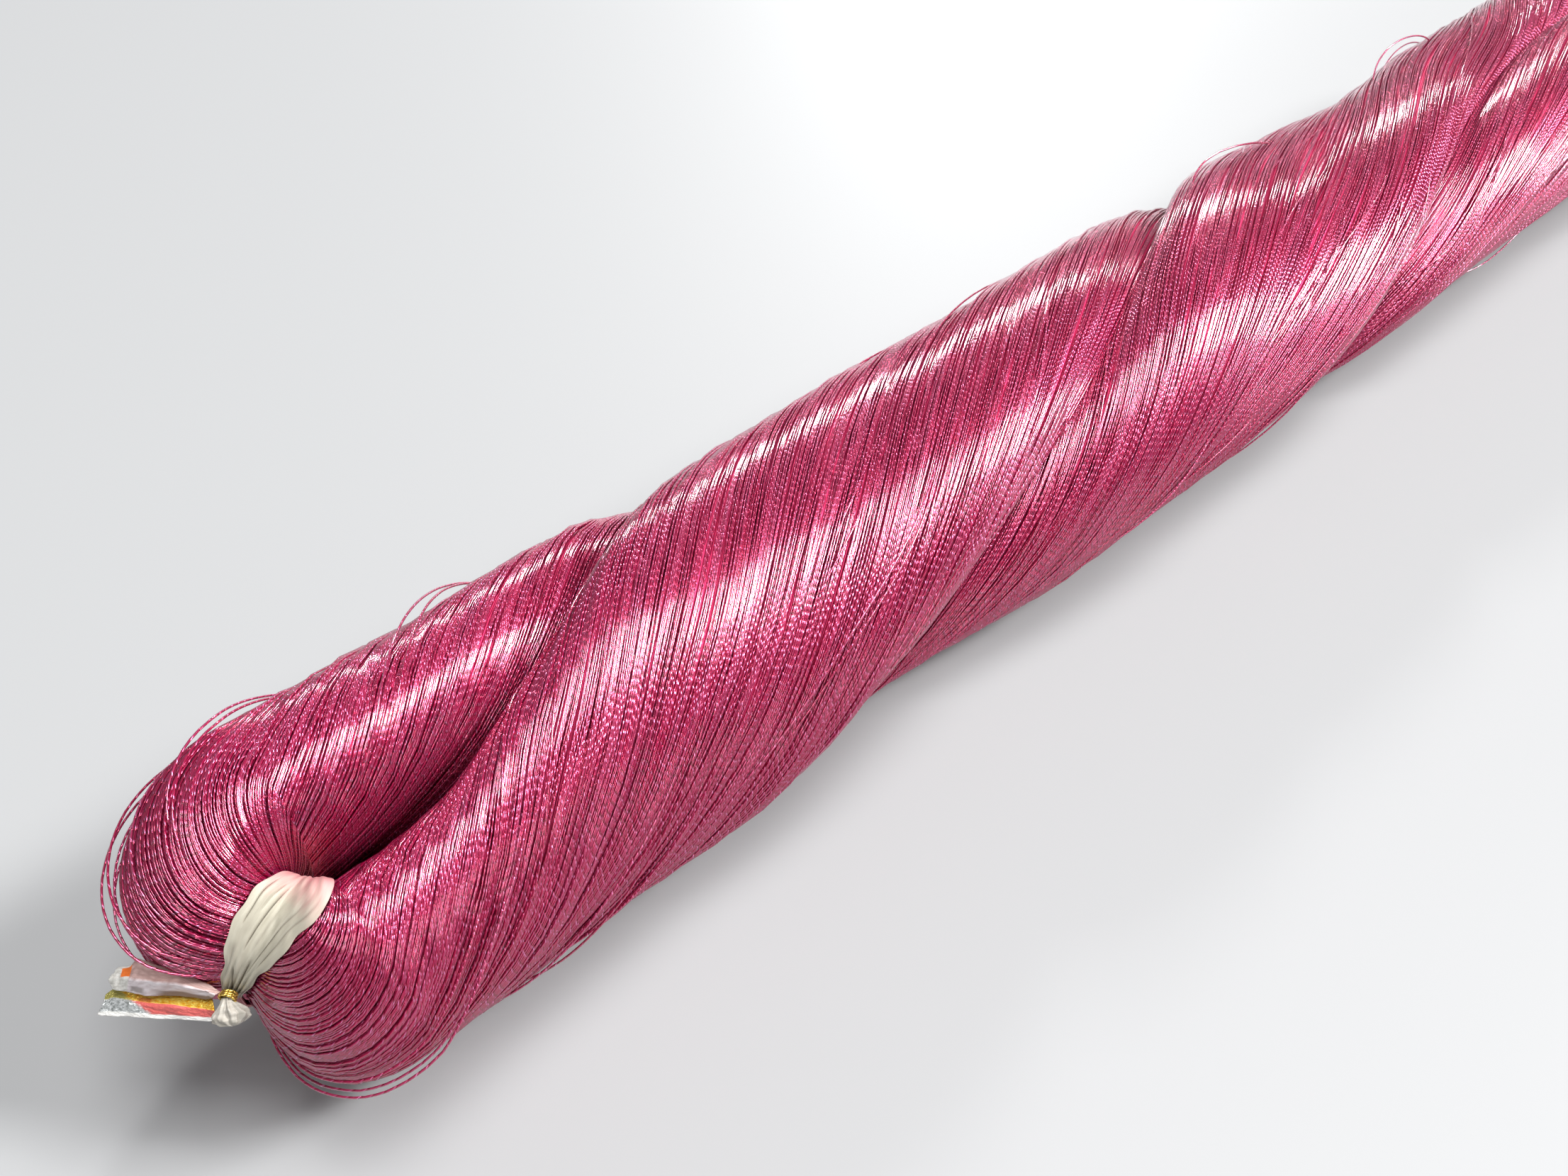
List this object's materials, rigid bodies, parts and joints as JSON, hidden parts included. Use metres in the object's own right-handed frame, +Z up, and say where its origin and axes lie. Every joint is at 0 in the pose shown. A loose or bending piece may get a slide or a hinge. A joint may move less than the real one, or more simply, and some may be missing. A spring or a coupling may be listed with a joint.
{
  "type": "skein of metallic leaf thread",
  "caption": "Twisted hank of fine pink metallic leaf thread, looped at each end and held by a gathered strip of paper bound with gold thread, lying ready to use.",
  "frame": {"origin": "middle of the underside of the bounding box, on the surface the skein lies on", "axes": "+X along the skein from its tied loop end to its far end, +Y across it, +Z up"},
  "size_m": [0.3084, 0.0388, 0.0376],
  "materials": {
    "thread": "pink metallic leaf thread with a bright sheen and small sparkles along each thread",
    "paper": "thin cream paper, gathered and creased, with plain coloured and foil stripes at its free ends",
    "gold": "fine gold metallic binding thread"
  },
  "bodies": {
    "root": {"skein": "thread", "tie_paper": "paper", "tie_binding": "gold"}
  },
  "joints": []
}
